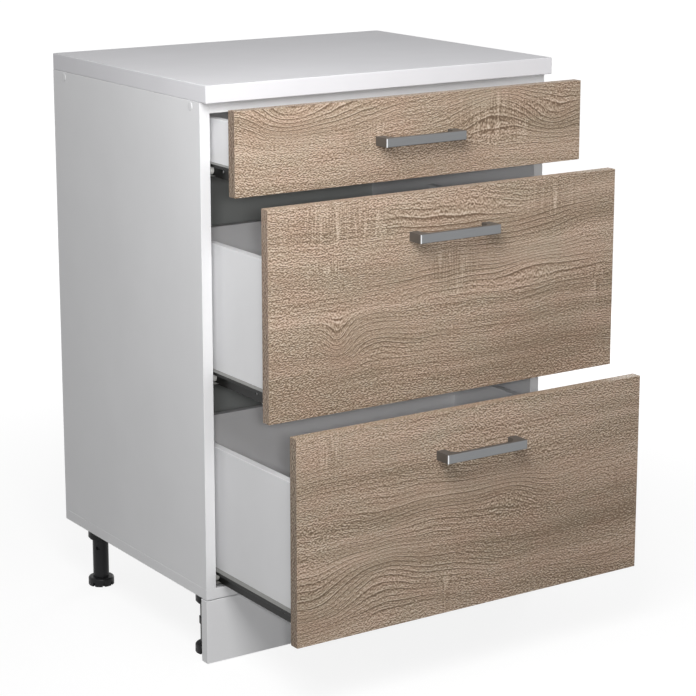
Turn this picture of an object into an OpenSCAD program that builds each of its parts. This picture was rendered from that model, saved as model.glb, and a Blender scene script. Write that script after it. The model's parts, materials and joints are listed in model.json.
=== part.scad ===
// Kitchen base cabinet, 600 mm wide, with a worktop, three drawers on steel roller runners,
// bar handles, four adjustable plastic legs and a plinth board clipped to the front legs.
// Millimetres. +Z is up and the fronts face -Y. The origin lies on the floor, below the middle
// of the whole object as it stands with its drawers partly open.

/* [Carcass] */
// Width of the carcass and of the worktop
cabinet_w = 600; // [450:10:900]
// Height of the carcass, from the underside of the bottom panel to the top of the sides
carcass_h = 720; // [700:5:800]
// Depth of the carcass, without worktop overhang and fronts
carcass_d = 448; // [430:2:600]
// Thickness of the coated carcass boards
board_t = 16; // [15:0.5:19]
// Thickness of the thin back panel
back_t = 3; // [2.5:0.5:5]
// Distance from the rear edge of the sides to the back panel
back_inset = 7.5; // [5:0.5:15]
// Depth of the grooves that hold the back panel and the drawer bases
groove_d = 6; // [4:0.5:7]
// Play of a thin panel in its groove, over its thickness
groove_play = 0.2; // [0.1:0.1:0.5]
// Width of the two rails that tie the sides together under the worktop
top_rail_w = 96; // [80:1:120]

/* [Worktop] */
// Thickness of the worktop
worktop_t = 25; // [18:1:40]
// How far the worktop stands out past the front edges of the carcass
worktop_overhang = 18; // [10:1:40]

/* [Fronts] */
// Thickness of the drawer fronts
front_t = 16; // [15:0.5:19]
// Height of the top front: the two deep fronts share the rest
top_front_h = 118; // [100:1:160]
// Gap between one front and the next
front_gap = 3; // [2:0.5:5]
// How far the fronts stay inside the cabinet's width at each side
front_side_gap = 2; // [1:0.5:4]
// Gap between the top front and the worktop
front_top_gap = 2; // [1:0.5:6]
// Height of the bottom front's lower edge above the underside of the carcass
front_lift = 6; // [0:0.5:12]
// Gap that the stops in the runners leave between a closed front and the carcass
closed_gap = 1; // [0.5:0.5:3]

/* [Rest pose] */
// How far the top drawer stands open
top_open = 73; // [5:1:290]
// How far the middle drawer stands open
middle_open = 156; // [5:1:290]
// How far the bottom drawer stands open
bottom_open = 224; // [5:1:290]

/* [Drawer boxes] */
// Distance from the closed drawer boxes to the back panel
box_rear_gap = 38.5; // [10:0.5:80]
// Thickness of the drawer sides and backs
box_t = 12; // [12:0.5:16]
// Distance from a deep front's top edge down to the sides of its drawer
deep_box_drop = 79.3; // [40:0.1:150]
// Free height between the sides of the top drawer and the top rails
box_headroom = 9.3; // [4:0.1:30]
// Height of the boxes' lower edge above the lower edge of their front
box_lift = 14.7; // [12:0.1:20]
// Thickness of the drawer bases
base_t = 3; // [2.5:0.5:5]
// Height of the base above the lower edge of the box
base_lift = 10; // [8:0.5:16]
// How much lower the middle drawer's back is than its sides
middle_back_drop = 25; // [0:1:60]

/* [Runners] */
// Side gap between carcass and drawer box that holds a runner
runner_gap = 12.5; // [12.5:0.1:15]
// Distance from the carcass front to the front end of a cabinet rail
rail_setback = 2; // [1:0.5:8]
// Sheet thickness of the rails
rail_t = 1.2; // [1:0.1:1.5]
// Height of a drawer rail
rail_h = 20; // [18:0.5:24]
// Width of the drawer rail's track, which hangs over the rollers
track_w = 9.5; // [9:0.1:10]
// Height of the lip that turns down from the track's outer edge
lip_h = 4.5; // [3:0.1:5]
// Diameter of the plastic rollers
roller_d = 16; // [14:0.5:16]
// Width of the rollers
roller_w = 5.5; // [4.5:0.1:5.8]
// Gap between a roller and the steel that it runs on
roller_gap = 0.25; // [0.15:0.05:0.4]
// Diameter of the rivets that the rollers turn on
rivet_d = 5; // [4:0.5:6]
// Radial play of a roller on its rivet
rivet_play = 0.05; // [0.02:0.01:0.1]
// Free height between the drawer's track and the hood of the cabinet rail
hood_play = 1; // [0.6:0.1:1.5]
// Length of the stretch at the front where the cabinet rail has no hood
hood_start = 38; // [30:1:60]
// Distance from a rail's end to the axis of its roller
roller_inset = 14; // [12:0.5:20]
// Length of a drawer box that stays in the cabinet when it is fully open
travel_loss = 100; // [90:5:150]
// Distance from a cabinet rail's front end to its first screw
rail_screw_first = 37; // [36:1:45]
// Step of the holes in the cabinet sides
hole_step = 32; // [25:1:32]
// Distance from a cabinet rail's rear end to its last screw
rail_screw_last = 40; // [30:1:50]

/* [Handles] */
// Length of a handle
handle_l = 138; // [120:1:200]
// Height of the handle bar
handle_h = 13; // [9:0.5:18]
// How far a handle stands out from its front
handle_depth = 28; // [22:1:40]
// Thickness of the handle bar, front to back
handle_bar_t = 7; // [5:0.5:9]
// Width of a handle's feet along the bar
handle_foot_w = 14; // [12:0.5:18]
// Size of the slope that joins foot and bar inside
handle_slope = 8; // [4:0.5:12]
// Chamfer along the long front edges of the bar
handle_chamfer = 0.8; // [0.3:0.1:2]
// Distance between the two screws of a handle
handle_screw_spacing = 128 - 4; // [108:1:186]
// Distance from a deep front's top edge to its handle
handle_drop = 60; // [30:1:120]

/* [Legs] */
// Free height below the carcass
leg_space = 97.5; // [90:0.5:150]
// Distance from the carcass side to the middle of a leg
leg_side_inset = 30; // [28:1:80]
// Distance from the carcass front to the middle of a front leg
front_leg_inset = 47; // [46:1:80]
// Distance from the carcass rear to the middle of a rear leg
rear_leg_inset = 59; // [40:1:100]
// Outer diameter of a leg tube
tube_d = 25; // [24:0.5:30]
// Wall of a leg tube
tube_wall = 3; // [2:0.5:4]
// Diameter of the collar at the top of a leg
collar_d = 38; // [34:1:42]
// Height of that collar
collar_h = 18.5; // [12:0.5:24]
// Diameter of a foot
foot_d = 40.5; // [36:0.5:50]
// Height of a foot
foot_h = 13; // [12:0.5:20]
// Radius of the rounded top edge of a foot
foot_round = 3; // [2:0.5:5]
// Number of grip notches round a foot
notch_count = 8; // [6:1:12]
// Width of a grip notch
notch_w = 3.5; // [3:0.5:5]
// Height of a grip notch
notch_h = 6; // [4:0.5:8]
// Depth of a grip notch
notch_d = 4; // [2:0.5:5]
// Length of the screw stem above a foot
stem_l = 55; // [40:1:60]
// Radial play of the stem in its tube
stem_play = 0.1; // [0.05:0.05:0.3]

/* [Plinth] */
// Thickness of the plinth board
plinth_t = 16; // [12:0.5:19]
// Gap between plinth board and carcass
plinth_top_gap = 1.5; // [1:0.5:5]
// Gap between plinth board and floor
plinth_floor_gap = 1; // [0.5:0.5:4]
// Height of the clips on the front legs above the floor
clip_z = 49; // [30:1:60]
// Height of a clip's ring
clip_h = 10; // [8:0.5:14]
// Wall of a clip's ring
clip_wall = 1.5; // [1.5:0.5:3]

/* [Fixings] */
// Distance from a top rail's outer edge to the screw in its end
rail_screw_inset = 26; // [20:1:34]
// Diameter of the caps over the carcass screws
cap_d = 12.5; // [11.5:0.5:15]
// How far a cap bulges out of the side
cap_bulge = 1; // [0.6:0.1:1.6]
// Distance from front and rear to the screws that hold the sides on the bottom panel
bottom_screw_inset = 96; // [80:1:110]
// Distance from a dowel to the screw beside it
dowel_step = 44; // [32:1:54]
// Distance from a drawer side's top and bottom edge to its cam fittings
cam_inset = 22; // [20:1:26]

/* [Hidden] */
$fn = 48;

WHITE = "white";
OAK = "tan";
STEEL = "slategray";
NICKEL = "silver";
BLACK = "dimgray";

// The three drawers are counted from the top
TOP = 0;
MIDDLE = 1;
BOTTOM = 2;
DRAWERS = [TOP, MIDDLE, BOTTOM];

// Heights above the floor
carcass_top = leg_space + carcass_h;
bottom_top = leg_space + board_t;
rail_mid_z = carcass_top - board_t / 2;
top_rail_bottom = carcass_top - board_t;
bottom_front_z = leg_space + front_lift;
top_front_z = carcass_top - front_top_gap - top_front_h;
deep_front_h = (top_front_z - bottom_front_z) / 2 - front_gap;
middle_front_z = bottom_front_z + deep_front_h + front_gap;
deep_box_h = deep_front_h - deep_box_drop - box_lift;
top_box_h = top_rail_bottom - box_headroom - top_front_z - box_lift;

// Widths, measured from the middle of the cabinet
half_w = cabinet_w / 2;
inner_half_w = half_w - board_t;
box_half_w = inner_half_w - runner_gap;
box_inner_half_w = box_half_w - box_t;

// Depths, measured from the front edges of the carcass
back_y = carcass_d - back_inset - back_t;
rear_rail_y = back_y - top_rail_w;
box_l = back_y + closed_gap - box_rear_gap;
rail_l = box_l;
drawer_travel = box_l - travel_loss;
top_screw_ys = [rail_screw_inset, back_y - rail_screw_inset];
top_dowel_ys = [rail_screw_inset + dowel_step, back_y - rail_screw_inset - dowel_step];
bottom_screw_ys = [bottom_screw_inset, carcass_d - bottom_screw_inset];
bottom_dowel_ys = [bottom_screw_inset + dowel_step, carcass_d - bottom_screw_inset - dowel_step];
leg_ys = [front_leg_inset, carcass_d - rear_leg_inset];
leg_x = half_w - leg_side_inset;

// One entry for each drawer
OPEN = [top_open, middle_open, bottom_open];
FRONT_Z = [top_front_z, middle_front_z, bottom_front_z];
FRONT_H = [top_front_h, deep_front_h, deep_front_h];
BOX_H = [top_box_h, deep_box_h, deep_box_h];
BACK_DROP = [0, middle_back_drop, 0];
HANDLE_Z = [top_front_h / 2, deep_front_h - handle_drop, deep_front_h - handle_drop];

// The object reaches from the bottom drawer's handle to the rear edges of the sides
front_reach = bottom_open + front_t + handle_depth;
origin_y = (carcass_d - front_reach) / 2;

// Runner section: u counts outward from the drawer side, v counts up from its lower edge
track_top = rail_h - rail_t;
track_under = track_top - rail_t;
roller_v = track_under - roller_gap - roller_d / 2;
floor_v = roller_v - roller_d / 2 - roller_gap;
hood_v = track_top + hood_play;
roller_u0 = rail_t + 0.8;
roller_u1 = roller_u0 + roller_w;
web_u = runner_gap - rail_t;
rail_edge_gap = 1;
under_flange_w = box_t - 0.5;
washer_gap = 0.15;
rivet_boss_d = rivet_d + 3;
rivet_head_d = rivet_d + 2.6;
rivet_head_h = 1;
rivet_head_play = 0.2;
track_start = 12;
track_slant = 10;
rail_front_gap = 3;
rear_roller_y = box_l - roller_inset;
front_roller_y = rail_setback + roller_inset;
web_hole_d = 4.5;
web_hole_first = 26;
web_hole_last = 150;
web_hole_ys = [web_hole_first, web_hole_first + hole_step, box_l - web_hole_last];
flange_screw_first = 45;
flange_screw_last = 70;
flange_screw_ys = [flange_screw_first, box_l - flange_screw_last];
flange_screw_u = 4;
first_screw_y = rail_setback + rail_screw_first;
cabinet_screw_ys = [first_screw_y, first_screw_y + 4 * hole_step, rail_setback + rail_l - rail_screw_last];

// Stops in the cabinet rails' floor: a low ridge that the rear roller meets when the drawer is
// fully open, and an upright tab that it meets when the drawer is closed
stop_play = 0.3;
open_stop_h = 2;
open_stop_w = 3;
open_stop_reach = sqrt(pow(roller_d / 2, 2) - pow(roller_d / 2 + roller_gap - open_stop_h, 2));
open_stop_y = rear_roller_y - closed_gap - drawer_travel - open_stop_reach - stop_play;
closed_stop_h = 10;
closed_stop_y = rear_roller_y - closed_gap + roller_d / 2 + stop_play;

// Fixings
pilot_play = 0.05;
confirmat_neck_d = 7;
confirmat_core_d = 5;
confirmat_head_d = 10;
confirmat_head_h = 1.5;
confirmat_core_l = 34;
socket_d = 4.6;
socket_h = 3;
dowel_d = 8;
dowel_in_panel = 10;
dowel_in_rail = 20;
worktop_screw_d = 4;
worktop_screw_bite = 14;
worktop_screw_inset = 90;
worktop_screw_x = inner_half_w - worktop_screw_inset;
pan_head_h = 2;
wood_screw_d = 3.5;
wood_screw_head_d = 7;
wood_screw_tip = 3;
wood_screw_l = board_t - 3;
clip_screw_l = plinth_t - 3;
cam_d = 11;
cam_bore_d = 11.2;
cam_h = 8.5;
cam_y = 24;
cam_bolt_d = 5;
cam_bolt_bite = 10;
cam_bolt_l = cam_y - cam_d / 2 + cam_bolt_bite;
back_screw_bite = 22;
back_screw_l = box_t + back_screw_bite;
back_screw_edge = 15;
flange_screw_l = 14;
flange_screw_d = 3.4;
handle_screw_d = 4;
handle_screw_bite = 11;
handle_screw_head_d = 8;
handle_screw_head_h = 2.4;
base_in_front = 5;

// Legs
tube_bottom = foot_h + 0.3;
tube_roof = 3;
step_d = (tube_d + collar_d) / 2 + 1.5;
step_h = 3;
cone_h = 2;
lug_r = collar_d / 2 + 4.5;
lug_d = 12;
lug_t = 4;
window_w = 6;
window_h = 5.5;
window_z = collar_h + step_h + cone_h + 9;
window_turn = 222;
notch_turn = 28;
clip_r = tube_d / 2 + 0.1;
clip_plate_w = 36;
clip_plate_h = 26;
clip_plate_t = 3;
clip_arm_w = 14;
clip_screw_dx = 12;
plinth_h = leg_space - plinth_top_gap - plinth_floor_gap;

// Puts what is drawn in cabinet measures in its place
module at_cabinet() {
  translate([0, -origin_y, 0]) children();
}

// Puts what is drawn from a front's rear face and lower edge in its place
module at_drawer(k) {
  translate([0, -origin_y - OPEN[k], FRONT_Z[k]]) children();
}

// Everything is drawn for the right side, and the left side mirrors it
module on_side(side) {
  if (side == "right") children();
  if (side == "left") mirror([1, 0, 0]) children();
}

module on_both_sides() {
  on_side("right") children();
  on_side("left") children();
}

// Extrudes an upright section, drawn in x and z, from y0 to y1
module along_y(y0, y1) {
  translate([0, y1, 0]) rotate([90, 0, 0]) linear_extrude(y1 - y0) children();
}

// A bar of round section along +X
module x_rod(d, l) {
  rotate([0, 90, 0]) cylinder(d = d, h = l);
}

// Screws stand head down at the origin and point up
module wood_screw(l, d = wood_screw_d, head_d = wood_screw_head_d) {
  head_h = (head_d - d) / 2;
  cylinder(d1 = head_d, d2 = d, h = head_h);
  translate([0, 0, head_h]) cylinder(d = d, h = l - head_h - wood_screw_tip);
  translate([0, 0, l - wood_screw_tip]) cylinder(d1 = d, d2 = 0.8, h = wood_screw_tip);
}

module wood_screw_hole(l, d = wood_screw_d, head_d = wood_screw_head_d) {
  head_h = (head_d - d) / 2;
  translate([0, 0, -1]) cylinder(d = head_d + 2 * pilot_play, h = 1.001);
  cylinder(d1 = head_d + 2 * pilot_play, d2 = d + 2 * pilot_play, h = head_h);
  cylinder(d = d + 2 * pilot_play, h = l + 0.5);
}

module pan_screw(l, d, head_d, head_h = pan_head_h) {
  translate([0, 0, -head_h]) cylinder(d = head_d, h = head_h);
  cylinder(d = d, h = l - wood_screw_tip / 2);
  translate([0, 0, l - wood_screw_tip / 2]) cylinder(d1 = d, d2 = 1, h = wood_screw_tip / 2);
}

module pan_screw_hole(l, d) {
  translate([0, 0, -1]) cylinder(d = d + 2 * pilot_play, h = l + 1.5);
}

// Carcass screw with a flat countersunk head, a hexagon socket and a thick neck
module carcass_screw() {
  difference() {
    union() {
      cylinder(d1 = confirmat_head_d, d2 = confirmat_neck_d, h = confirmat_head_h);
      translate([0, 0, confirmat_head_h]) cylinder(d = confirmat_neck_d, h = board_t - confirmat_head_h);
      translate([0, 0, board_t]) cylinder(d = confirmat_core_d, h = confirmat_core_l - wood_screw_tip);
      translate([0, 0, board_t + confirmat_core_l - wood_screw_tip])
        cylinder(d1 = confirmat_core_d, d2 = 2, h = wood_screw_tip);
    }
    translate([0, 0, -1]) cylinder(d = socket_d, h = socket_h + 1, $fn = 6);
  }
}

// The bore for it: its first stretch lies in the outer board, its second in the inner one
module carcass_screw_neck_hole() {
  play = 2 * pilot_play;
  translate([0, 0, -1]) cylinder(d = confirmat_head_d + play, h = 1.001);
  cylinder(d1 = confirmat_head_d + play, d2 = confirmat_neck_d + play, h = confirmat_head_h);
  cylinder(d = confirmat_neck_d + play, h = board_t + 1);
}

module carcass_screw_core_hole() {
  translate([0, 0, board_t - 1])
    cylinder(d = confirmat_core_d + 2 * pilot_play, h = confirmat_core_l + 2);
}

// Stands for the right side's outer face, at a top rail's screws
module at_top_screws() {
  for (y = top_screw_ys) translate([half_w, y, rail_mid_z]) rotate([0, -90, 0]) children();
}

// Stands below the bottom panel, at the screws that go up into the side
module at_bottom_screws() {
  for (y = bottom_screw_ys) translate([half_w - board_t / 2, y, leg_space]) children();
}

// Dowel across the joint between the right side's inner face and a top rail
module at_top_dowels(play = 0) {
  for (y = top_dowel_ys) translate([inner_half_w - dowel_in_rail - play, y, rail_mid_z])
    x_rod(dowel_d + play, dowel_in_rail + dowel_in_panel + 2 * play);
}

// Dowel across the joint between the bottom panel and the right side's lower edge
module at_bottom_dowels(play = 0) {
  for (y = bottom_dowel_ys) translate([half_w - board_t / 2, y, bottom_top - dowel_in_panel - play])
    cylinder(d = dowel_d + play, h = dowel_in_rail + dowel_in_panel + 2 * play);
}

// Cabinet rail screws go out into the right side, at the middle of each rail's web
module at_cabinet_rail_screws(k) {
  z = FRONT_Z[k] + box_lift + roller_v;
  for (y = cabinet_screw_ys)
    translate([inner_half_w - rail_t, y, z]) rotate([0, 90, 0]) children();
}

module side_panel(side) {
  color(WHITE) at_cabinet() on_side(side) difference() {
    translate([inner_half_w, 0, bottom_top]) cube([board_t, carcass_d, carcass_h - board_t]);
    translate([inner_half_w - 1, back_y - groove_play / 2, bottom_top - 1])
      cube([groove_d + 1, back_t + groove_play, carcass_h]);
    at_top_screws() carcass_screw_neck_hole();
    at_bottom_screws() carcass_screw_core_hole();
    at_top_dowels(play = 2 * pilot_play);
    at_bottom_dowels(play = 2 * pilot_play);
    for (k = DRAWERS) at_cabinet_rail_screws(k) wood_screw_hole(wood_screw_l);
  }
}

module bottom_panel() {
  color(WHITE) at_cabinet() difference() {
    translate([-half_w, 0, leg_space]) cube([cabinet_w, carcass_d, board_t]);
    translate([-inner_half_w - groove_d, back_y - groove_play / 2, bottom_top - groove_d])
      cube([2 * (inner_half_w + groove_d), back_t + groove_play, groove_d + 1]);
    on_both_sides() {
      at_bottom_screws() carcass_screw_neck_hole();
      at_bottom_dowels(play = 2 * pilot_play);
      at_leg_screws() wood_screw_hole(wood_screw_l);
    }
  }
}

module back_panel() {
  reach = inner_half_w + groove_d - groove_play;
  low = bottom_top - groove_d;
  color(WHITE) at_cabinet() translate([-reach, back_y, low]) cube([2 * reach, back_t, carcass_top - low]);
}

module top_rail(y0) {
  color(WHITE) at_cabinet() difference() {
    translate([-inner_half_w, y0, top_rail_bottom]) cube([2 * inner_half_w, top_rail_w, board_t]);
    on_both_sides() {
      at_top_screws() carcass_screw_core_hole();
      at_top_dowels(play = 2 * pilot_play);
      at_worktop_screws() pan_screw_hole(board_t + 1, worktop_screw_d);
    }
  }
}

module at_worktop_screws() {
  for (y = [top_rail_w / 2, back_y - top_rail_w / 2])
    translate([worktop_screw_x, y, top_rail_bottom]) children();
}

module worktop() {
  color(WHITE) at_cabinet() difference() {
    translate([-half_w, -worktop_overhang, carcass_top])
      cube([cabinet_w, worktop_overhang + carcass_d, worktop_t]);
    on_both_sides() at_worktop_screws() pan_screw_hole(board_t + worktop_screw_bite, worktop_screw_d);
  }
}

module worktop_screws() {
  color(NICKEL) at_cabinet() on_both_sides() at_worktop_screws()
    pan_screw(board_t + worktop_screw_bite, worktop_screw_d, 2 * worktop_screw_d);
}

module carcass_screws() {
  color(NICKEL) at_cabinet() on_both_sides() {
    at_top_screws() carcass_screw();
    at_bottom_screws() carcass_screw();
  }
}

module carcass_dowels() {
  color("burlywood") at_cabinet() on_both_sides() {
    at_top_dowels();
    at_bottom_dowels();
  }
}

// Plastic caps with a bevelled rim, pegged into the sockets of the screws in the sides
module cover_caps() {
  peg_d = socket_d - 0.8;
  peg_h = socket_h - 0.5;
  rim_h = 0.3 * cap_bulge;
  bevel = 2 * (cap_bulge - rim_h);
  color(WHITE) at_cabinet() on_both_sides() at_top_screws() {
    translate([0, 0, -cap_bulge]) cylinder(d1 = cap_d - 2 * bevel, d2 = cap_d, h = cap_bulge - rim_h);
    translate([0, 0, -rim_h]) cylinder(d = cap_d, h = rim_h);
    cylinder(d = peg_d, h = peg_h);
  }
}

// The tops of the legs on the right side
module at_legs() {
  for (y = leg_ys) translate([leg_x, y, leg_space]) children();
}

// A leg's three lugs point inward, to the front and to the rear
module at_lugs() {
  for (a = [90, 180, 270]) rotate([0, 0, a]) children();
}

module at_leg_screws() {
  at_legs() at_lugs() translate([lug_r, 0, -lug_t]) children();
}

// Plastic tube with a stepped collar, three screw lugs and a small window
module leg_sockets() {
  color(BLACK) at_cabinet() on_both_sides() at_legs() difference() {
    union() {
      translate([0, 0, -collar_h]) cylinder(d = collar_d, h = collar_h);
      translate([0, 0, -collar_h - step_h]) cylinder(d = step_d, h = step_h);
      translate([0, 0, -collar_h - step_h - cone_h]) cylinder(d1 = tube_d, d2 = step_d - 2, h = cone_h);
      translate([0, 0, tube_bottom - leg_space]) cylinder(d = tube_d, h = leg_space - tube_bottom);
      at_lugs() {
        translate([0, -lug_d / 2, -lug_t]) cube([lug_r, lug_d, lug_t]);
        translate([lug_r, 0, -lug_t]) cylinder(d = lug_d, h = lug_t);
      }
    }
    translate([0, 0, tube_bottom - leg_space - 1])
      cylinder(d = tube_d - 2 * tube_wall, h = leg_space - tube_bottom - tube_roof + 1);
    at_lugs() translate([lug_r, 0, -lug_t]) wood_screw_hole(wood_screw_l);
    rotate([0, 0, 180 - window_turn]) translate([0, -window_w / 2, -window_z - window_h])
      cube([tube_d, window_w, window_h]);
  }
}

// Screw foot: a notched disc with a rounded top edge, and the stem that turns in the tube
module foot(side, y) {
  stem_d = tube_d - 2 * tube_wall - 2 * stem_play;
  color(BLACK) at_cabinet() on_side(side) translate([leg_x, y, 0]) {
    difference() {
      rotate_extrude() {
        square([foot_d / 2 - foot_round, foot_h]);
        square([foot_d / 2, foot_h - foot_round]);
        intersection() {
          translate([foot_d / 2 - foot_round, foot_h - foot_round]) circle(r = foot_round);
          square([foot_d / 2, foot_h]);
        }
      }
      for (i = [0 : notch_count - 1]) rotate([0, 0, 180 - notch_turn + i * 360 / notch_count])
        translate([foot_d / 2 - notch_d, -notch_w / 2, -1]) cube([notch_d + 1, notch_w, notch_h + 1]);
    }
    translate([0, 0, foot_h]) cylinder(d = stem_d, h = stem_l);
  }
}

// Screws in the legs' lugs and in the plinth clips
module leg_screws() {
  color(NICKEL) at_cabinet() on_both_sides() {
    at_leg_screws() wood_screw(wood_screw_l);
    at_clip_screws() wood_screw(clip_screw_l);
  }
}

module at_clip_screws() {
  for (x = [-clip_screw_dx, clip_screw_dx])
    translate([leg_x + x, plinth_t + clip_plate_t, clip_z]) rotate([90, 0, 0]) children();
}

module plinth_board() {
  color(WHITE) at_cabinet() difference() {
    translate([-half_w, 0, plinth_floor_gap]) cube([cabinet_w, plinth_t, plinth_h]);
    on_both_sides() at_clip_screws() wood_screw_hole(clip_screw_l);
  }
}

// Each clip snaps round a front leg from the front and is screwed to the plinth board
module plinth_clips() {
  ring_r = clip_r + clip_wall;
  color(BLACK) at_cabinet() on_both_sides() {
    translate([leg_x, front_leg_inset, clip_z - clip_h / 2]) difference() {
      union() {
        cylinder(r = ring_r, h = clip_h);
        translate([-clip_arm_w / 2, plinth_t - front_leg_inset, 0])
          cube([clip_arm_w, front_leg_inset - plinth_t, clip_h]);
      }
      translate([0, 0, -1]) cylinder(r = clip_r, h = clip_h + 2);
      translate([-clip_r * 0.8, clip_r * 0.6, -1]) cube([clip_r * 1.6, ring_r, clip_h + 2]);
    }
    difference() {
      translate([leg_x - clip_plate_w / 2, plinth_t, clip_z - clip_plate_h / 2])
        cube([clip_plate_w, clip_plate_t, clip_plate_h]);
      at_clip_screws() wood_screw_hole(clip_screw_l);
    }
  }
}

// A roller's body, its rivet bore and the recess for the rivet's head at its u1 end
module roller() {
  difference() {
    x_rod(roller_d, roller_w);
    translate([-1, 0, 0]) x_rod(rivet_d + 2 * rivet_play, roller_w + 2);
    translate([roller_w - rivet_head_h - rivet_head_play, 0, 0])
      x_rod(rivet_head_d + 0.8, rivet_head_h + rivet_head_play + 1);
  }
}

// Its rivet: a boss between the rail's web and the roller, the pin, and the flat head
module rivet(web_gap) {
  translate([-web_gap, 0, 0]) x_rod(rivet_boss_d, web_gap - washer_gap);
  translate([-web_gap, 0, 0]) x_rod(rivet_d, web_gap + roller_w);
  translate([roller_w - rivet_head_h, 0, 0]) x_rod(rivet_head_d, rivet_head_h);
}

// The rear roller hangs on the drawer rail, with its head outward
module at_rear_roller() {
  translate([box_half_w + roller_u0, rear_roller_y, box_lift + roller_v]) children();
}

// The front roller hangs on the cabinet rail, with its head inward
module at_front_roller() {
  translate([box_half_w + roller_u1, front_roller_y, box_lift + roller_v]) mirror([1, 0, 0]) children();
}

// Bent steel rail under the drawer side: foot under the board, web beside it, track over the
// rollers and a lip that turns down. The track starts in a slant behind the front.
module drawer_rail(k, side) {
  color(STEEL) at_drawer(k) on_side(side) {
    difference() {
      translate([box_half_w, 0, box_lift]) along_y(rail_front_gap, box_l) {
        translate([-under_flange_w, -rail_t]) square([under_flange_w + rail_t, rail_t]);
        translate([0, -rail_t]) square([rail_t, rail_h]);
        translate([0, track_under]) square([track_w, rail_t]);
        translate([track_w - rail_t, track_top - lip_h]) square([rail_t, lip_h]);
      }
      translate([box_half_w + rail_t, 0, box_lift + track_top - lip_h - 1])
        linear_extrude(lip_h + 2)
          polygon([[0, 0], [track_w, 0], [track_w, track_start + track_slant], [0, track_start]]);
      for (y = web_hole_ys)
        translate([box_half_w - 1, y, box_lift + roller_v]) x_rod(web_hole_d, rail_t + 2);
      at_flange_screws() pan_screw_hole(rail_t + 2, flange_screw_d);
    }
    at_rear_roller() rivet(roller_u0 - rail_t);
  }
}

// Screws that go up through the rail's foot into the drawer side
module at_flange_screws() {
  for (y = flange_screw_ys)
    translate([box_half_w - flange_screw_u, y, box_lift - rail_t]) children();
}

// Bent steel channel on the carcass side: floor under the rear roller, web on the side panel and
// a hood that holds the drawer down. The hood starts behind the front roller.
module cabinet_rail(k, side) {
  u0 = rail_t + rail_edge_gap;
  y0 = rail_setback;
  y1 = rail_setback + rail_l;
  color(STEEL) at_cabinet() translate([0, 0, FRONT_Z[k]]) on_side(side) {
    difference() {
      translate([box_half_w, 0, box_lift]) union() {
        along_y(y0, y1) {
          translate([u0, floor_v - rail_t]) square([runner_gap - u0, rail_t]);
          translate([web_u, floor_v - rail_t]) square([rail_t, hood_v + 2 * rail_t - floor_v]);
        }
        along_y(y0 + hood_start, y1)
          translate([roller_u0, hood_v]) square([runner_gap - roller_u0, rail_t]);
      }
      translate([0, 0, -FRONT_Z[k]]) at_cabinet_rail_screws(k) wood_screw_hole(wood_screw_l);
    }
    translate([box_half_w + u0, open_stop_y - open_stop_w, box_lift + floor_v - rail_t / 2])
      cube([web_u - u0, open_stop_w, open_stop_h + rail_t / 2]);
    translate([box_half_w + u0, closed_stop_y, box_lift + floor_v - rail_t / 2])
      cube([web_u - u0 + rail_t / 2, rail_t, closed_stop_h + rail_t / 2]);
    at_front_roller() rivet(web_u - roller_u1);
  }
}

module cabinet_rail_screws() {
  color(NICKEL) at_cabinet() on_both_sides() for (k = DRAWERS)
    at_cabinet_rail_screws(k) wood_screw(wood_screw_l);
}

module front_rollers(k) {
  color(WHITE) at_cabinet() translate([0, 0, FRONT_Z[k]]) on_both_sides() at_front_roller() roller();
}

module rear_rollers(k) {
  color(WHITE) at_drawer(k) on_both_sides() at_rear_roller() roller();
}

// Handle screws point forward out of the front
module at_handle_screws(k) {
  for (s = [-1, 1])
    translate([s * handle_screw_spacing / 2, 0, HANDLE_Z[k]]) rotate([90, 0, 0]) children();
}

// Heights of the cam fittings in a drawer side
function cam_zs(k) = [box_lift + cam_inset, box_lift + BOX_H[k] - cam_inset];

// Cam bolts point forward out of the right drawer side's front edge
module at_cam_bolts(k) {
  for (z = cam_zs(k))
    translate([box_half_w - box_t / 2, cam_y - cam_d / 2, z]) rotate([90, 0, 0]) children();
}

module at_cams(k) {
  for (z = cam_zs(k)) translate([box_inner_half_w, cam_y, z]) children();
}

// Screws that go in through the right drawer side into the drawer's back
module at_back_screws(k) {
  low = box_lift + base_lift + base_t + back_screw_edge;
  high = box_lift + BOX_H[k] - BACK_DROP[k] - back_screw_edge;
  for (z = [low, high]) translate([box_half_w, box_l - box_t / 2, z]) rotate([0, -90, 0]) children();
}

module drawer_front(k) {
  front_w = cabinet_w - 2 * front_side_gap;
  color(OAK) at_drawer(k) difference() {
    translate([-front_w / 2, -front_t, 0]) cube([front_w, front_t, FRONT_H[k]]);
    at_handle_screws(k) pan_screw_hole(front_t + 1, handle_screw_d);
    on_both_sides() at_cam_bolts(k)
      cylinder(d = cam_bolt_d + 2 * pilot_play, h = cam_bolt_l + 0.5);
    base_groove(-base_in_front - groove_play, 1);
  }
}

// The groove that holds a drawer's base, from y0 to y1
module base_groove(y0, y1) {
  w = box_inner_half_w + groove_d;
  translate([-w, y0, box_lift + base_lift]) cube([2 * w, y1 - y0, base_t + groove_play]);
}

module drawer_side(k, side) {
  color(WHITE) at_drawer(k) on_side(side) difference() {
    translate([box_inner_half_w, 0, box_lift]) cube([box_t, box_l, BOX_H[k]]);
    base_groove(-1, box_l + 1);
    at_cams(k) translate([-1, 0, 0]) x_rod(cam_bore_d, cam_h + 1.2);
    at_cam_bolts(k) cylinder(d = cam_bolt_d + 2 * pilot_play, h = cam_y + 1);
    at_back_screws(k) wood_screw_hole(back_screw_l);
    at_flange_screws() pan_screw_hole(rail_t + flange_screw_l, flange_screw_d);
  }
}

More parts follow.
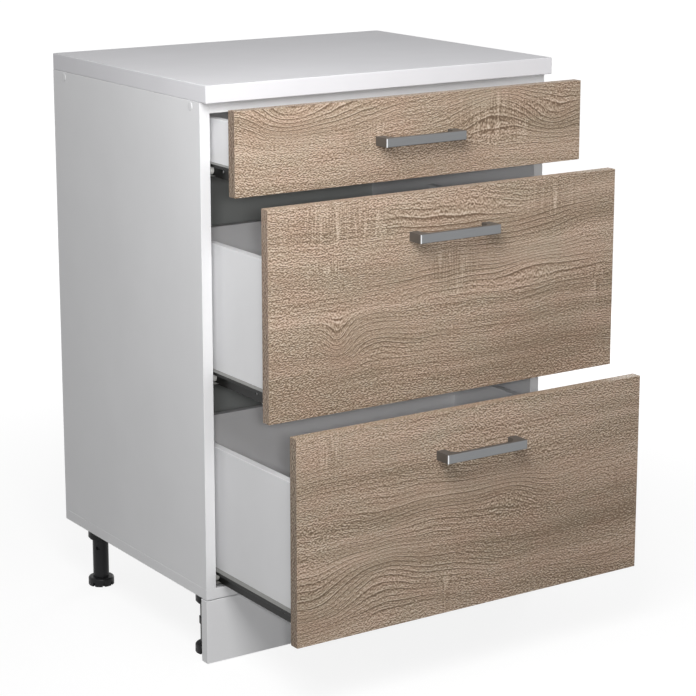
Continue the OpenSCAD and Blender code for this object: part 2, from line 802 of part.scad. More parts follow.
module drawer_back(k) {
  low = box_lift + base_lift + base_t;
  color(WHITE) at_drawer(k) difference() {
    translate([-box_inner_half_w, box_l - box_t, low])
      cube([2 * box_inner_half_w, box_t, box_lift + BOX_H[k] - BACK_DROP[k] - low]);
    on_both_sides() at_back_screws(k) wood_screw_hole(back_screw_l);
  }
}

module drawer_base(k) {
  reach = box_inner_half_w + groove_d - groove_play;
  color(WHITE) at_drawer(k) translate([-reach, -base_in_front, box_lift + base_lift])
    cube([2 * reach, base_in_front + box_l, base_t]);
}

// One solid bar, bent square at its ends, with sloped inner corners and chamfered front edges
module drawer_handle(k) {
  half = handle_l / 2;
  foot_x = half - handle_foot_w;
  bar_y = handle_depth - handle_bar_t;
  c = handle_chamfer;
  color(NICKEL) at_drawer(k) translate([0, -front_t, HANDLE_Z[k]]) difference() {
    intersection() {
      mirror([0, 1, 0]) translate([0, 0, -handle_h / 2]) linear_extrude(handle_h) polygon([
        [half, 0], [half, handle_depth], [-half, handle_depth], [-half, 0],
        [-foot_x, 0], [-foot_x, bar_y - handle_slope], [-foot_x + handle_slope, bar_y],
        [foot_x - handle_slope, bar_y], [foot_x, bar_y - handle_slope], [foot_x, 0]
      ]);
      translate([-half - 1, 0, 0]) rotate([90, 0, 90]) linear_extrude(handle_l + 2) polygon([
        [0, -handle_h / 2], [-handle_depth + c, -handle_h / 2], [-handle_depth, -handle_h / 2 + c],
        [-handle_depth, handle_h / 2 - c], [-handle_depth + c, handle_h / 2], [0, handle_h / 2]
      ]);
    }
    translate([0, front_t, -HANDLE_Z[k]]) at_handle_screws(k)
      pan_screw_hole(front_t + handle_screw_bite, handle_screw_d);
  }
}

// The handle's screws, the cam bolts and cams, the back's screws and the rails' screws
module drawer_fixings(k) {
  color(NICKEL) at_drawer(k) {
    at_handle_screws(k)
      pan_screw(front_t + handle_screw_bite, handle_screw_d, handle_screw_head_d, handle_screw_head_h);
    on_both_sides() {
      at_cams(k) translate([0.1, 0, 0]) x_rod(cam_d, cam_h);
      at_cam_bolts(k) translate([0, 0, 0.1]) cylinder(d = cam_bolt_d, h = cam_bolt_l - 0.1);
      at_back_screws(k) wood_screw(back_screw_l);
      at_flange_screws() pan_screw(rail_t + flange_screw_l, flange_screw_d, 2 * flange_screw_d);
    }
  }
}

worktop();
side_panel("left");  // left_side_panel
side_panel("right");  // right_side_panel
bottom_panel();
back_panel();
top_rail(0);  // front_top_rail
top_rail(rear_rail_y);  // rear_top_rail
carcass_screws();
carcass_dowels();
worktop_screws();
cover_caps();
leg_sockets();
foot("left", leg_ys[0]);  // front_left_foot
foot("right", leg_ys[0]);  // front_right_foot
foot("left", leg_ys[1]);  // rear_left_foot
foot("right", leg_ys[1]);  // rear_right_foot
leg_screws();
plinth_board();
plinth_clips();
cabinet_rail(TOP, "left");  // top_left_cabinet_rail
cabinet_rail(TOP, "right");  // top_right_cabinet_rail
cabinet_rail(MIDDLE, "left");  // middle_left_cabinet_rail
cabinet_rail(MIDDLE, "right");  // middle_right_cabinet_rail
cabinet_rail(BOTTOM, "left");  // bottom_left_cabinet_rail
cabinet_rail(BOTTOM, "right");  // bottom_right_cabinet_rail
cabinet_rail_screws();
front_rollers(TOP);  // top_front_rollers
front_rollers(MIDDLE);  // middle_front_rollers
front_rollers(BOTTOM);  // bottom_front_rollers
drawer_front(TOP);  // top_drawer_front
drawer_side(TOP, "left");  // top_drawer_left_side
drawer_side(TOP, "right");  // top_drawer_right_side
drawer_back(TOP);  // top_drawer_back
drawer_base(TOP);  // top_drawer_base
drawer_rail(TOP, "left");  // top_drawer_left_rail
drawer_rail(TOP, "right");  // top_drawer_right_rail
rear_rollers(TOP);  // top_drawer_rear_rollers
drawer_handle(TOP);  // top_drawer_handle
drawer_fixings(TOP);  // top_drawer_fixings
drawer_front(MIDDLE);  // middle_drawer_front
drawer_side(MIDDLE, "left");  // middle_drawer_left_side
drawer_side(MIDDLE, "right");  // middle_drawer_right_side
drawer_back(MIDDLE);  // middle_drawer_back
drawer_base(MIDDLE);  // middle_drawer_base
drawer_rail(MIDDLE, "left");  // middle_drawer_left_rail
drawer_rail(MIDDLE, "right");  // middle_drawer_right_rail
rear_rollers(MIDDLE);  // middle_drawer_rear_rollers
drawer_handle(MIDDLE);  // middle_drawer_handle
drawer_fixings(MIDDLE);  // middle_drawer_fixings
drawer_front(BOTTOM);  // bottom_drawer_front
drawer_side(BOTTOM, "left");  // bottom_drawer_left_side
drawer_side(BOTTOM, "right");  // bottom_drawer_right_side
drawer_back(BOTTOM);  // bottom_drawer_back
drawer_base(BOTTOM);  // bottom_drawer_base
drawer_rail(BOTTOM, "left");  // bottom_drawer_left_rail
drawer_rail(BOTTOM, "right");  // bottom_drawer_right_rail
rear_rollers(BOTTOM);  // bottom_drawer_rear_rollers
drawer_handle(BOTTOM);  // bottom_drawer_handle
drawer_fixings(BOTTOM);  // bottom_drawer_fixings
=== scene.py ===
import json
import math

import bmesh
import bpy
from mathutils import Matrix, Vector

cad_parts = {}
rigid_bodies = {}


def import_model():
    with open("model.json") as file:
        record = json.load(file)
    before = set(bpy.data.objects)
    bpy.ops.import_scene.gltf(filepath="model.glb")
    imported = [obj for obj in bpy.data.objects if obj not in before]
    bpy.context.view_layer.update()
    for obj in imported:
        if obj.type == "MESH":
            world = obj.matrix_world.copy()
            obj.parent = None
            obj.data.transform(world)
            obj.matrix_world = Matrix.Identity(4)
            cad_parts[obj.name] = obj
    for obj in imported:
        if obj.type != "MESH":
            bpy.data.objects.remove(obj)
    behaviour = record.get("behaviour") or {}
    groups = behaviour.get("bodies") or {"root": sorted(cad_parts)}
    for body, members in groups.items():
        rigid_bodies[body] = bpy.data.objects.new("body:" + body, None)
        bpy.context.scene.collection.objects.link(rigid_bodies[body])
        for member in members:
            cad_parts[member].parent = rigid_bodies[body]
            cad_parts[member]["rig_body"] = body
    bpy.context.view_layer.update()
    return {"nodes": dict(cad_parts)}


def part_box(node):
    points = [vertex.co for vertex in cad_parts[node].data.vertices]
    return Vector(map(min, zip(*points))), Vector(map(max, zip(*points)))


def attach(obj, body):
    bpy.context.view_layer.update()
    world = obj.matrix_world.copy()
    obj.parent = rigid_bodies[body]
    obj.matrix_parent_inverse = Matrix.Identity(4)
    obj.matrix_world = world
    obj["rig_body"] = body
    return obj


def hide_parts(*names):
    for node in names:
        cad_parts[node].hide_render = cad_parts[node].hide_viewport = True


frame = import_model()
cad = frame["nodes"]


# The carcass: two sides, a bottom panel below them and two rails at the top, all chipboard with a
# white melamine skin. Their glued edging is trimmed to a small radius, and screws and dowels hold
# them together.
def add(tree, kind, inputs=(), **settings):
    """Adds a shader node. inputs maps a socket's name or number to a value or another socket."""
    node = tree.nodes.new("ShaderNode" + kind)
    for name, value in settings.items():
        setattr(node, name, value)
    for name, value in dict(inputs).items():
        if isinstance(value, bpy.types.NodeSocket):
            tree.links.new(value, node.inputs[name])
        else:
            node.inputs[name].default_value = value
    return node


def new_material(name, roughness, metallic=0.0, specular=0.5):
    """A material, its node tree and its shader."""
    made = bpy.data.materials.new(name)
    made.use_nodes = True
    shader = made.node_tree.nodes["Principled BSDF"]
    shader.inputs["Roughness"].default_value = roughness
    shader.inputs["Metallic"].default_value = metallic
    shader.inputs["Specular IOR Level"].default_value = specular
    return made, made.node_tree, shader


def place(tree, stretch=(1, 1, 1)):
    """The piece's own coordinates in metres, stretched along each axis."""
    where = add(tree, "TexCoord")
    return add(tree, "Mapping", {"Vector": where.outputs["Object"], "Scale": stretch}).outputs[0]


def ramp(tree, value, stops):
    """A colour for each value. stops lists positions and colours from 0 to 1."""
    made = add(tree, "ValToRGB", {"Fac": value})
    elements = made.color_ramp.elements
    while len(elements) < len(stops):
        elements.new(0.5)
    for element, (position, colour) in zip(elements, stops):
        element.position = position
        element.color = (*colour, 1)
    return made.outputs["Color"]


def coated_board(name, colour, roughness, grain=2200, depth=0.00002, specular=0.35):
    """A melamine skin: fine pearl texture, and a faint cloudiness in colour and gloss."""
    made, tree, shader = new_material(name, roughness, specular=specular)
    cloud = add(tree, "TexNoise", {"Vector": place(tree), "Scale": 9.0, "Detail": 3.0})
    light = tuple(min(1.0, c * 1.015) for c in colour)
    dark = tuple(c * 0.98 for c in colour)
    tree.links.new(ramp(tree, cloud.outputs["Fac"], [(0.3, dark), (0.7, light)]),
                   shader.inputs["Base Color"])
    pearl = add(tree, "TexNoise", {"Vector": place(tree), "Scale": grain, "Detail": 2.0})
    gloss = add(tree, "MapRange", {"Value": pearl.outputs["Fac"],
                                   "To Min": roughness - 0.06, "To Max": roughness + 0.06})
    tree.links.new(gloss.outputs[0], shader.inputs["Roughness"])
    bump = add(tree, "Bump", {"Height": pearl.outputs["Fac"], "Strength": 0.5, "Distance": depth})
    tree.links.new(bump.outputs[0], shader.inputs["Normal"])
    return made


SHARP_ANGLE = 35        # degrees between faces, above which their edge is shaded sharp


def finish_piece(mesh, node, name, material):
    """Turns a mesh into the piece that stands for a CAD node, on that node's body."""
    for polygon in mesh.polygons:
        polygon.use_smooth = True
    mesh.set_sharp_from_angle(angle=math.radians(SHARP_ANGLE))
    mesh.materials.append(material)
    piece = bpy.data.objects.new(name, mesh)
    bpy.context.scene.collection.objects.link(piece)
    weighted = piece.modifiers.new("even_faces", "WEIGHTED_NORMAL")
    weighted.keep_sharp = True
    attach(piece, cad[node]["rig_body"])
    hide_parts(node)
    return piece


def node_mesh(node):
    """A CAD node's faces as an editable mesh, with its flat faces whole again."""
    made = bmesh.new()
    made.from_mesh(cad[node].data)
    bmesh.ops.remove_doubles(made, verts=made.verts, dist=2e-6)
    bmesh.ops.dissolve_limit(made, angle_limit=math.radians(0.5), verts=made.verts, edges=made.edges)
    return made


def round_edges(made, edges, radius, segments):
    """Rounds edges in so many steps."""
    bmesh.ops.bevel(made, geom=edges, offset=radius, segments=segments, profile=0.5, affect="EDGES",
                    clamp_overlap=True)


def piece_from(made, node, ending, material):
    """Ends the work on a mesh and makes it the piece of a CAD node."""
    name = node + ending
    mesh = bpy.data.meshes.new(name)
    made.to_mesh(mesh)
    made.free()
    return finish_piece(mesh, node, name, material)


def trimmed_board(node, material, radius=0.0006, segments=3):
    """A board whose twelve outer edges are rounded, with its bores and grooves kept."""
    low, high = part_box(node)
    made = node_mesh(node)

    def outer_planes(corner):
        return {(axis, side) for axis in range(3) for side, plane in ((0, low), (1, high))
                if abs(corner.co[axis] - plane[axis]) < 1e-5}

    edges = [e for e in made.edges if len(outer_planes(e.verts[0]) & outer_planes(e.verts[1])) >= 2]
    round_edges(made, edges, radius, segments)
    return piece_from(made, node, "_trimmed", material)


white = coated_board("white_melamine", (0.83, 0.83, 0.84), 0.42)
for node in ("left_side_panel", "right_side_panel", "bottom_panel", "front_top_rail", "rear_top_rail"):
    trimmed_board(node, white)


# The back panel is thin fibreboard, lacquered grey. It stands in grooves of the sides and of the
# bottom panel, and its edges are sharper than those of the boards.
back = coated_board("back_lacquer", (0.44, 0.455, 0.445), 0.5)
trimmed_board("back_panel", back, radius=0.0003, segments=2)


# The worktop is a thicker chipboard in a hard white laminate with a duller, coarser grain. Its edges
# are rounder than those of the carcass, and screws up through the top rails hold it.
worktop_skin = coated_board("worktop_laminate", (0.81, 0.805, 0.83), 0.52, grain=1500, depth=0.00003,
                            specular=0.15)
trimmed_board("worktop", worktop_skin, radius=0.0014, segments=4)


# Zinc-plated steel screws and beech dowels hold the boards together, and a plastic cap covers the
# head of each screw in the sides.
def plated(name, colour, roughness):
    """A plated metal with a slightly mottled colour and gloss."""
    made, tree, shader = new_material(name, roughness, metallic=1.0)
    tint = add(tree, "TexNoise", {"Vector": place(tree), "Scale": 320.0, "Detail": 3.0})
    dark = tuple(c * 0.82 for c in colour)
    tree.links.new(ramp(tree, tint.outputs["Fac"], [(0.35, dark), (0.65, colour)]),
                   shader.inputs["Base Color"])
    wear = add(tree, "MapRange", {"Value": tint.outputs["Fac"],
                                  "To Min": roughness - 0.08, "To Max": roughness + 0.1})
    tree.links.new(wear.outputs[0], shader.inputs["Roughness"])
    return made


def moulded(name, colour, roughness, depth=0.00003, specular=0.45):
    """Injection-moulded plastic with a fine eroded surface."""
    made, tree, shader = new_material(name, roughness, specular=specular)
    grain = add(tree, "TexNoise", {"Vector": place(tree), "Scale": 1600.0, "Detail": 2.0})
    flow = add(tree, "TexNoise", {"Vector": place(tree, (40, 40, 12)), "Scale": 1.0, "Detail": 2.0})
    dark = tuple(c * 0.9 for c in colour)
    light = tuple(min(1.0, c * 1.08) for c in colour)
    tree.links.new(ramp(tree, flow.outputs["Fac"], [(0.3, dark), (0.7, light)]),
                   shader.inputs["Base Color"])
    bump = add(tree, "Bump", {"Height": grain.outputs["Fac"], "Strength": 0.6, "Distance": depth})
    tree.links.new(bump.outputs[0], shader.inputs["Normal"])
    return made


def dress(node, material):
    """A CAD node that keeps its shape and gets its finish."""
    cad[node].data.materials.clear()
    cad[node].data.materials.append(material)


zinc = plated("zinc_plated_steel", (0.62, 0.61, 0.58), 0.34)
for node in ("carcass_screws", "worktop_screws", "cabinet_rail_screws", "leg_screws"):
    dress(node, zinc)

beech, beech_tree, beech_shader = new_material("beech_dowel", 0.6)
fibre = add(beech_tree, "TexNoise", {"Vector": place(beech_tree, (60, 900, 900)), "Scale": 1.0,
                                     "Detail": 3.0})
beech_grain = ramp(beech_tree, fibre.outputs["Fac"], [(0.3, (0.42, 0.26, 0.13)),
                                                      (0.7, (0.62, 0.43, 0.25))])
beech_tree.links.new(beech_grain, beech_shader.inputs["Base Color"])
dress("carcass_dowels", beech)

EDGE_ANGLE = 30         # degrees between faces, above which their edge is rounded


def softened(node, material, radius, work=None):
    """A piece in a CAD node's shape with its sharp edges rounded, and work done on it after that."""
    made = node_mesh(node)
    edges = [e for e in made.edges if len(e.link_faces) == 2 and e.calc_length() > 2.2 * radius
             and e.calc_face_angle(0) > math.radians(EDGE_ANGLE)]
    round_edges(made, edges, radius, 2)
    if work:
        work(made, *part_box(node))
    return piece_from(made, node, "_softened", material)


softened("cover_caps", moulded("cap_plastic", (0.8, 0.8, 0.81), 0.35), 0.00012)


# The four legs are moulded in black plastic. Each has a socket, screwed below the bottom panel, and
# in it a notched foot that is screwed up or down.
black = moulded("black_plastic", (0.013, 0.013, 0.014), 0.42, depth=0.00004, specular=0.2)
dress("leg_sockets", black)
for corner in ("front_left", "front_right", "rear_left", "rear_right"):
    softened(corner + "_foot", black, 0.0004)


# The plinth is a strip of the same white board. Two black plastic clips, screwed to its rear face,
# grip the front legs, so that it can be taken off.
trimmed_board("plinth_board", white)
dress("plinth_clips", black)


# Runners: sheet-steel rails in a black epoxy coat, painted paler on the faces that look up as a painted
# highlight, with white nylon rollers on rivets. One rail is screwed to the carcass and the other to the
# drawer.
def coated_steel(name, colour, top_highlight):
    """A speckled coat with a fine peel, and a paler colour on faces that look up, a painted highlight."""
    made, tree, shader = new_material(name, 0.30, specular=0.15)
    speck = add(tree, "TexNoise", {"Vector": place(tree), "Scale": 1400.0, "Detail": 3.0})
    light = tuple(min(1.0, c * 1.25) for c in colour)
    coat = ramp(tree, speck.outputs["Fac"], [(0.35, colour), (0.7, light)])
    facing = add(tree, "SeparateXYZ", {"Vector": add(tree, "TexCoord").outputs["Normal"]}).outputs
    # Painted highlight: faces that look up take the paler colour given for the top.
    upward = add(tree, "Math", {0: facing[2], 1: 0.7}, operation="GREATER_THAN").outputs[0]
    shade = add(tree, "Mix", {"Factor": upward, "A": coat, "B": (*top_highlight, 1)}, data_type="RGBA")
    tree.links.new(shade.outputs["Result"], shader.inputs["Base Color"])
    peel = add(tree, "TexNoise", {"Vector": place(tree), "Scale": 420.0, "Detail": 1.0})
    bump = add(tree, "Bump", {"Height": peel.outputs["Fac"], "Strength": 0.4, "Distance": 0.00004})
    tree.links.new(bump.outputs[0], shader.inputs["Normal"])
    return made


# The paler colour on the rails' upward faces is a painted highlight.
rail_steel = coated_steel("rail_coated_steel", (0.016, 0.016, 0.015), top_highlight=(0.22, 0.22, 0.21))
nylon = moulded("roller_nylon", (0.74, 0.74, 0.71), 0.45)
DRAWERS = ("top", "middle", "bottom")
for drawer in DRAWERS:
    for side in ("left", "right"):
        softened(f"{drawer}_{side}_cabinet_rail", rail_steel, 0.0003)
        softened(f"{drawer}_drawer_{side}_rail", rail_steel, 0.0003)
    dress(f"{drawer}_front_rollers", nylon)
    dress(f"{drawer}_drawer_rear_rollers", nylon)


# Each drawer box has two sides and a back of thinner white coated board, with a thin base in their
# grooves. Cams draw the sides to the front, and screws hold the back between them.
box_skin = coated_board("drawer_melamine", (0.80, 0.80, 0.81), 0.4)
for drawer in DRAWERS:
    for part in ("left_side", "right_side", "back"):
        trimmed_board(f"{drawer}_drawer_{part}", box_skin, radius=0.0005)
    dress(f"{drawer}_drawer_base", box_skin)
    dress(f"{drawer}_drawer_fixings", zinc)


# The fronts are boards in a rough-sawn light oak decor, edged all round. The grain runs across the
# cabinet: short dark flecks and growth rings follow a flow that bends round a few figures, and
# some patches keep pale upright saw marks. The flecks are painted shade in sunk pores, each with a
# painted highlight on its lower edge.
# Places and sizes on the fronts are in metres
FIGURES = {     # centre x, height, reach along and across the grain, how far it bends the rings
    "top": [(-0.215, 0.800, 0.050, 0.036, 0.020), (-0.130, 0.800, 0.090, 0.030, 0.010),
            (0.150, 0.802, 0.070, 0.040, -0.024), (0.250, 0.765, 0.045, 0.024, 0.012)],
    "middle": [(0.060, 0.568, 0.110, 0.026, -0.012), (0.160, 0.572, 0.050, 0.022, -0.013),
               (-0.185, 0.500, 0.024, 0.034, 0.022), (-0.120, 0.495, 0.045, 0.030, -0.012),
               (0.020, 0.650, 0.120, 0.020, 0.010)],
    "bottom": [(-0.040, 0.260, 0.120, 0.026, -0.012), (0.070, 0.266, 0.050, 0.022, -0.013),
               (-0.170, 0.190, 0.070, 0.045, -0.024), (-0.270, 0.160, 0.060, 0.040, 0.018)],
}
SAW_MARKS = {   # centre x, height, reach along and across the grain
    "top": [(-0.080, 0.765, 0.035, 0.018), (0.150, 0.775, 0.075, 0.028)],
    "middle": [(-0.185, 0.665, 0.080, 0.026), (0.005, 0.580, 0.038, 0.030), (0.185, 0.668, 0.038, 0.024),
               (-0.200, 0.610, 0.030, 0.012), (0.262, 0.520, 0.014, 0.040)],
    "bottom": [(-0.240, 0.370, 0.020, 0.022), (0.262, 0.250, 0.012, 0.016), (-0.050, 0.140, 0.006, 0.030)],
}
# Zones of painted light and shade: darker ones, mostly towards the lower right of a front, are painted shade,
# and paler ones are painted light.
LIGHT_AND_SHADE_ZONES = {  # centre x, height, reach along and across the grain, how much paler the tone is
    "top": [(0.210, 0.745, 0.120, 0.050, 0.06)],
    "middle": [(0.190, 0.445, 0.160, 0.075, -0.16), (-0.190, 0.450, 0.130, 0.070, -0.07)],
    "bottom": [(0.200, 0.185, 0.170, 0.140, -0.15), (0.020, 0.220, 0.160, 0.050, -0.05),
               (-0.200, 0.150, 0.120, 0.080, 0.07)],
}
# Each pore's dark fleck is painted shade and its pale edge below is a painted highlight.
PORE_DROP = 0.0015      # metres from a dark fleck down to its pale edge
RING_COUNT = 140.0      # rings in a metre of height


def sawn_oak(drawer, seed):
    """The oak decor of one front, with painted pore shade and zones of painted light and shade. seed sets
    where its noise starts.
    """
    made, tree, shader = new_material("sawn_oak_" + drawer, 0.55, specular=0.3)
    coords = add(tree, "TexCoord").outputs
    at = add(tree, "SeparateXYZ", {"Vector": coords["Object"]}).outputs
    facing = add(tree, "SeparateXYZ", {"Vector": coords["Normal"]}).outputs

    def maths(operation, a, b=None, c=None, clamp=False):
        values = {i: v for i, v in enumerate((a, b, c)) if v is not None}
        return add(tree, "Math", values, operation=operation, use_clamp=clamp).outputs[0]

    def choose(mask, off, on):
        """off where the mask is 0, and on where it is 1."""
        return maths("ADD", off, maths("MULTIPLY", mask, maths("SUBTRACT", on, off)))

    # The grain of the broad faces runs along X, and that of each edging runs along its edge
    on_end = maths("GREATER_THAN", maths("ABSOLUTE", facing[0]), 0.7)
    on_rim = maths("MAXIMUM", on_end, maths("GREATER_THAN", maths("ABSOLUTE", facing[2]), 0.7))
    along = choose(on_end, at[0], at[2])
    across = choose(on_rim, at[2], at[1])
    flat = add(tree, "CombineXYZ", {"X": along, "Z": across}).outputs[0]

    def near(x, height, reach_x, reach_z):
        """1 at a place on the front, fading to 0 outside its reach."""
        offset = add(tree, "VectorMath", {0: flat, 1: (x, 0, height)}, operation="SUBTRACT").outputs[0]
        offset = add(tree, "VectorMath", {0: offset, 1: (reach_x, 1, reach_z)}, operation="DIVIDE").outputs[0]
        square = add(tree, "VectorMath", {0: offset, 1: offset}, operation="DOT_PRODUCT").outputs["Value"]
        return maths("EXPONENT", maths("MULTIPLY", square, -1.0))

    def noise(cells_along, height, cells_across, detail=2.0, roughness=0.5, slot=0.0):
        """Noise with so many cells in a metre along the grain and of height. Each slot is its own."""
        where = add(tree, "CombineXYZ", {"X": maths("MULTIPLY", along, cells_along), "Y": seed + slot,
                                         "Z": maths("MULTIPLY", height, cells_across)}).outputs[0]
        return add(tree, "TexNoise", {"Vector": where, "Scale": 1.0, "Detail": detail,
                                      "Roughness": roughness}).outputs["Fac"]

    def swing(value, size):
        """A noise value turned into one that swings about zero."""
        return maths("MULTIPLY", maths("SUBTRACT", value, 0.5), size)

    # The height that the rings follow
    flow = maths("ADD", across, swing(noise(2.4, across, 4.0, detail=1.0, slot=3.0), 0.070))
    flow = maths("ADD", flow, swing(noise(9.0, across, 12.0, detail=1.0, slot=8.0), 0.020))
    figured = 0.0
    for x, height, reach_x, reach_z, bend in FIGURES[drawer]:
        bump = near(x, height, reach_x, reach_z)
        flow = maths("ADD", flow, maths("MULTIPLY", bump, bend))
        figured = maths("MAXIMUM", figured, near(x, height, reach_x * 1.5, reach_z * 1.6))
    ringed = maths("ADD", flow, swing(noise(60.0, across, 30.0, detail=1.0, slot=9.0), 0.0020))
    flow = maths("ADD", flow, swing(noise(45.0, across, 40.0, detail=1.0, slot=9.0), 0.0045))

    # A short dark fleck with a pale one below it: painted shade in a low sunk pore and a painted highlight on
    # its lower rim, as light from above would show them
    below = maths("ADD", flow, PORE_DROP)
    flecks = maths("SUBTRACT", noise(320.0, flow, 640.0, detail=0.5, slot=5.0),
                   noise(320.0, below, 640.0, detail=0.5, slot=5.0))
    streaks = maths("SUBTRACT", noise(60.0, flow, 620.0, detail=0.5, slot=6.0),
                    noise(60.0, below, 620.0, detail=0.5, slot=6.0))
    straighter = maths("MULTIPLY_ADD", maths("SUBTRACT", flow, across), 0.5, across)
    bands = noise(1.2, straighter, 30.0, detail=3.0, roughness=0.65, slot=1.0)
    clouds = noise(14.0, across, 26.0, slot=11.0)

    # Each ring ends in a thin dark line of late wood with a pale one beside it, clearest round the
    # figures and broken here and there
    spacing = maths("MULTIPLY", noise(1.6, ringed, 14.0, slot=2.0), 5.0)
    phase = maths("MULTIPLY_ADD", ringed, RING_COUNT, spacing)
    greys = ((0.00, 0.5), (0.20, 0.56), (0.52, 0.45), (0.68, 0), (0.78, 0), (0.87, 0.95), (1.00, 0.5))
    ring = ramp(tree, maths("FRACT", phase), [(place_in_ring, (grey,) * 3) for place_in_ring, grey in greys])
    showing = maths("ADD", figured, swing(noise(3.0, across, 14.0, slot=4.0), 3.0))
    showing = maths("ADD", showing, 0.30, clamp=True)
    broken = maths("MULTIPLY_ADD", noise(5.0, ringed, 110.0, slot=12.0), 3.0, -0.7, clamp=True)
    stronger = maths("MULTIPLY_ADD", maths("MULTIPLY", figured, figured), 0.30, 1.0)
    seen = maths("MULTIPLY", showing, maths("MULTIPLY", broken, stronger))
    ring = maths("MULTIPLY", maths("SUBTRACT", ring, 0.5), seen)

    # The tone from dark to pale: flecks and a fine pepper, bands, rings, and the zones of painted light and
    # shade
    pepper = noise(300.0, flow, 760.0, detail=1.0, slot=7.0)
    rough = maths("MULTIPLY_ADD", flecks, 1.60, maths("MULTIPLY", streaks, 0.80))
    rough = maths("ADD", rough, swing(pepper, 2.2))
    quieter = maths("MULTIPLY_ADD", figured, -0.12, maths("MULTIPLY_ADD", showing, -0.40, 1.14))
    rough = maths("MULTIPLY", rough, quieter)
    tone = maths("ADD", maths("ADD", rough, 0.49), swing(bands, 1.05))
    tone = maths("MULTIPLY_ADD", ring, 0.90, tone)
    # Painted light and shade: each zone makes the tone paler or darker by its change.
    for *zone, change in LIGHT_AND_SHADE_ZONES[drawer]:
        tone = maths("MULTIPLY_ADD", near(*zone), change, tone)

    # Saw marks: pale upright strokes close together, only in the patches
    sawn = 0.0
    for patch in SAW_MARKS[drawer]:
        sawn = maths("MAXIMUM", sawn, near(*patch))
    strokes = ramp(tree, noise(210.0, across, 10.0, detail=0.0, slot=13.0),
                   [(0.42, (0, 0, 0)), (0.50, (1, 1, 1)), (0.58, (0, 0, 0))])
    marks = maths("MULTIPLY", maths("MULTIPLY", sawn, 1.6, clamp=True), maths("SUBTRACT", strokes, 0.25))
    tone = maths("MULTIPLY_ADD", marks, 0.42, tone, clamp=True)

    colour = ramp(tree, tone, [(0.02, (0.160, 0.108, 0.073)), (0.30, (0.290, 0.213, 0.152)),
                               (0.53, (0.416, 0.322, 0.243)), (0.80, (0.568, 0.463, 0.371)),
                               (1.00, (0.680, 0.585, 0.490))])
    hue = ramp(tree, maths("ADD", maths("MULTIPLY", clouds, 0.5), maths("MULTIPLY", bands, 0.5)),
               [(0.38, (0.98, 1.0, 0.97)), (0.60, (1.02, 0.95, 0.92))])
    tinted = add(tree, "Mix", {"Factor": 1.0, "A": colour, "B": hue}, data_type="RGBA",
                 blend_type="MULTIPLY").outputs["Result"]
    # Painted shade: the upright end faces of each front are darkened to 0.62 of the decor's colour.
    edging = add(tree, "Mix", {"Factor": on_end, "A": (1, 1, 1, 1), "B": (0.62, 0.61, 0.61, 1)},
                 data_type="RGBA")
    shade = add(tree, "Mix", {"Factor": 1.0, "A": tinted, "B": edging.outputs["Result"]}, data_type="RGBA",
                blend_type="MULTIPLY").outputs["Result"]
    tree.links.new(shade, shader.inputs["Base Color"])

    relief = maths("SUBTRACT", tone, maths("MULTIPLY", marks, 0.3))
    bump = add(tree, "Bump", {"Height": relief, "Strength": 0.3, "Distance": 0.00015})
    tree.links.new(bump.outputs[0], shader.inputs["Normal"])
    gloss = add(tree, "MapRange", {"Value": tone, "To Min": 0.62, "To Max": 0.48})
    tree.links.new(gloss.outputs[0], shader.inputs["Roughness"])
    return made


for seed, drawer in enumerate(DRAWERS):
    trimmed_board(f"{drawer}_drawer_front", sawn_oak(drawer, 20.0 * seed), radius=0.0005)


# The handles are solid satin metal bars on two feet, brushed along their length and screwed on
# through the fronts. Both upright front edges are cut to a small slope in a much paler, glossier metal,
# a painted highlight that shows as thin light lines.
def brushed(name, colour, roughness):
    """A metal with fine lines along X in its colour, gloss and relief."""
    made, tree, shader = new_material(name, roughness, metallic=1.0)
    lines = add(tree, "TexNoise", {"Vector": place(tree, (30, 3500, 3500)), "Scale": 1.0, "Detail": 2.0})
    dark = tuple(c * 0.86 for c in colour)
    tree.links.new(ramp(tree, lines.outputs["Fac"], [(0.3, dark), (0.7, colour)]),
                   shader.inputs["Base Color"])
    gloss = add(tree, "MapRange", {"Value": lines.outputs["Fac"],
                                   "To Min": roughness - 0.06, "To Max": roughness + 0.1})
    tree.links.new(gloss.outputs[0], shader.inputs["Roughness"])
    bump = add(tree, "Bump", {"Height": lines.outputs["Fac"], "Strength": 0.25, "Distance": 0.00002})
    tree.links.new(bump.outputs[0], shader.inputs["Normal"])
    return made


satin = brushed("satin_metal", (0.25, 0.255, 0.26), 0.42)
# Painted highlight: a much paler, glossier copy of the handle metal for the cut edges.
cut_highlight = brushed("bright_cut_metal", (0.80, 0.81, 0.82), 0.22)
CUT_WIDTH = 0.0012      # how far each cut reaches along the bar and back from its front


def cut_ends(made, low, high):
    """Cuts a small flat slope on each upright front edge of the bar and gives it the paler metal, a painted
    highlight.
    """
    for end, side in ((low[0], -1), (high[0], 1)):
        cut = bmesh.ops.bisect_plane(made, geom=made.verts[:] + made.edges[:] + made.faces[:], dist=1e-6,
                                     plane_co=(end - side * CUT_WIDTH, low[1], 0), plane_no=(side, -1, 0),
                                     clear_outer=True)
        rim = [e for e in cut["geom_cut"] if isinstance(e, bmesh.types.BMEdge)]
        for face in bmesh.ops.edgeloop_fill(made, edges=rim)["faces"]:
            face.material_index = 1
    bmesh.ops.recalc_face_normals(made, faces=made.faces)


for drawer in DRAWERS:
    bar = softened(f"{drawer}_drawer_handle", satin, 0.0003, work=cut_ends)
    bar.data.materials.append(cut_highlight)


# Studio: a pale floor that keeps a faint shadow, a white surround, a main light at the front left, a
# small one beside the camera that reaches into the cabinet, a low one for the rear and the right side,
# and the camera at the photograph's angle.
def seen_rays(tree):
    """1 for rays that show a thing itself or its reflection, 0 for the light that it sheds."""
    path = add(tree, "LightPath").outputs
    shown = add(tree, "Math", {0: path["Is Camera Ray"], 1: path["Is Glossy Ray"]},
                operation="MAXIMUM").outputs[0]
    return add(tree, "Math", {0: shown, 1: path["Is Transmission Ray"]}, operation="MAXIMUM").outputs[0]


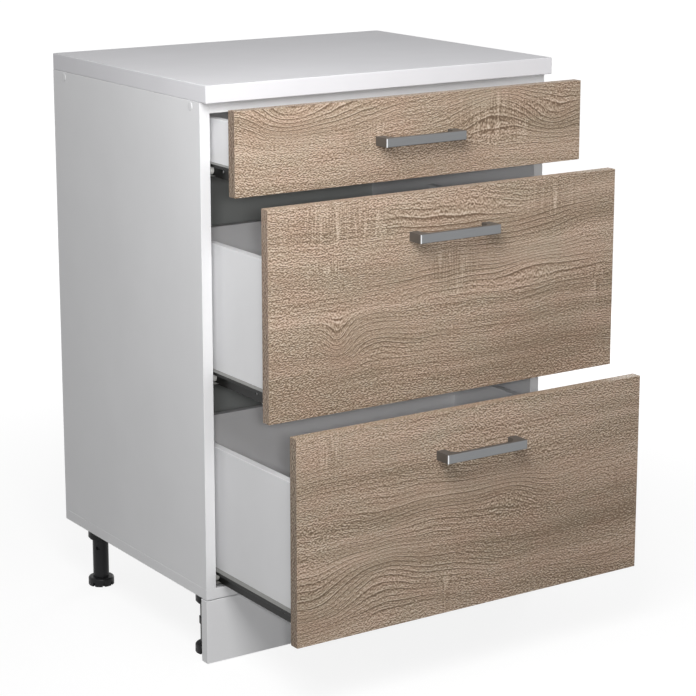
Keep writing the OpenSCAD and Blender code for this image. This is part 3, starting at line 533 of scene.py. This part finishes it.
FLOOR_REACH = 12        # metres from the origin to each edge of the floor
floor_mesh = bpy.data.meshes.new("floor")
corners = [(x * FLOOR_REACH, y * FLOOR_REACH, 0) for x, y in ((-1, -1), (1, -1), (1, 1), (-1, 1))]
floor_mesh.from_pydata(corners, [], [(0, 1, 2, 3)])
floor = bpy.data.objects.new("floor", floor_mesh)
bpy.context.scene.collection.objects.link(floor)
floor_paint, floor_tree, floor_shader = new_material("floor_paint", 0.9, specular=0.0)
floor_shader.inputs["Base Color"].default_value = (0.20, 0.20, 0.20, 1)
floor_shader.inputs["Emission Color"].default_value = (1, 1, 1, 1)
# Painted shade: the floor glows less within about half a metre of the origin, where the cabinet stands, and
# fully by 2.2 m.
spread = add(floor_tree, "VectorMath", {0: add(floor_tree, "TexCoord").outputs["Object"]}, operation="LENGTH")
whiteness = add(floor_tree, "MapRange", {"Value": spread.outputs["Value"], "From Min": 0.5, "From Max": 2.2,
                                         "To Min": 0.85, "To Max": 1.0}, interpolation_type="SMOOTHSTEP")
shine = add(floor_tree, "Math", {0: whiteness.outputs[0], 1: seen_rays(floor_tree)}, operation="MULTIPLY")
floor_tree.links.new(shine.outputs[0], floor_shader.inputs["Emission Strength"])
floor.data.materials.append(floor_paint)

AMBIENT = 0.245         # light from all round
world = bpy.data.worlds.new("studio")
bpy.context.scene.world = world
world.use_nodes = True
surround = world.node_tree.nodes["Background"]
surround.inputs["Color"].default_value = (1, 1, 1, 1)
strength = add(world.node_tree, "MapRange", {"Value": seen_rays(world.node_tree),
                                             "To Min": AMBIENT, "To Max": 1.0})
world.node_tree.links.new(strength.outputs[0], surround.inputs["Strength"])


def softbox(name, at, towards, width, height, watts):
    """A rectangular lamp that no camera sees."""
    light = bpy.data.lights.new(name, "AREA")
    light.shape = "RECTANGLE"
    light.size, light.size_y, light.energy = width, height, watts
    lamp = bpy.data.objects.new(name, light)
    bpy.context.scene.collection.objects.link(lamp)
    lamp.visible_camera = False
    lamp.location = at
    lamp.rotation_euler = (Vector(towards) - Vector(at)).to_track_quat("-Z", "Y").to_euler()


softbox("main_box", at=(-0.75, -0.985, 1.42), towards=(0.90, -0.59, 0.66), width=0.8, height=0.8, watts=20.6)
softbox("fill_box", at=(-1.80, -2.72, 1.24), towards=(0, -0.2, 0.45), width=0.30, height=0.10, watts=29)
softbox("rear_box", at=(1.80, 1.30, 0.55), towards=(0.1, 0.1, 0.40), width=0.7, height=0.5, watts=14)

bpy.context.scene.view_settings.view_transform = "Standard"
lens = bpy.data.cameras.new("camera")
camera = bpy.data.objects.new("camera", lens)
bpy.context.scene.collection.objects.link(camera)
bpy.context.scene.camera = camera
FRAME_WIDTH = 696       # pixels
FOCAL_LENGTH = 2225.1   # pixels of that frame
YAW, PITCH = 33.6, 12.7     # degrees to the right of straight ahead, and down
lens.sensor_width = 36
lens.lens = FOCAL_LENGTH / FRAME_WIDTH * lens.sensor_width
lens.shift_y = -0.08
camera.location = (-1.8028, -2.7187, 1.2329)
camera.rotation_euler = (math.pi / 2 - math.radians(PITCH), 0, -math.radians(YAW))
lens.clip_start, lens.clip_end = 0.1, 100
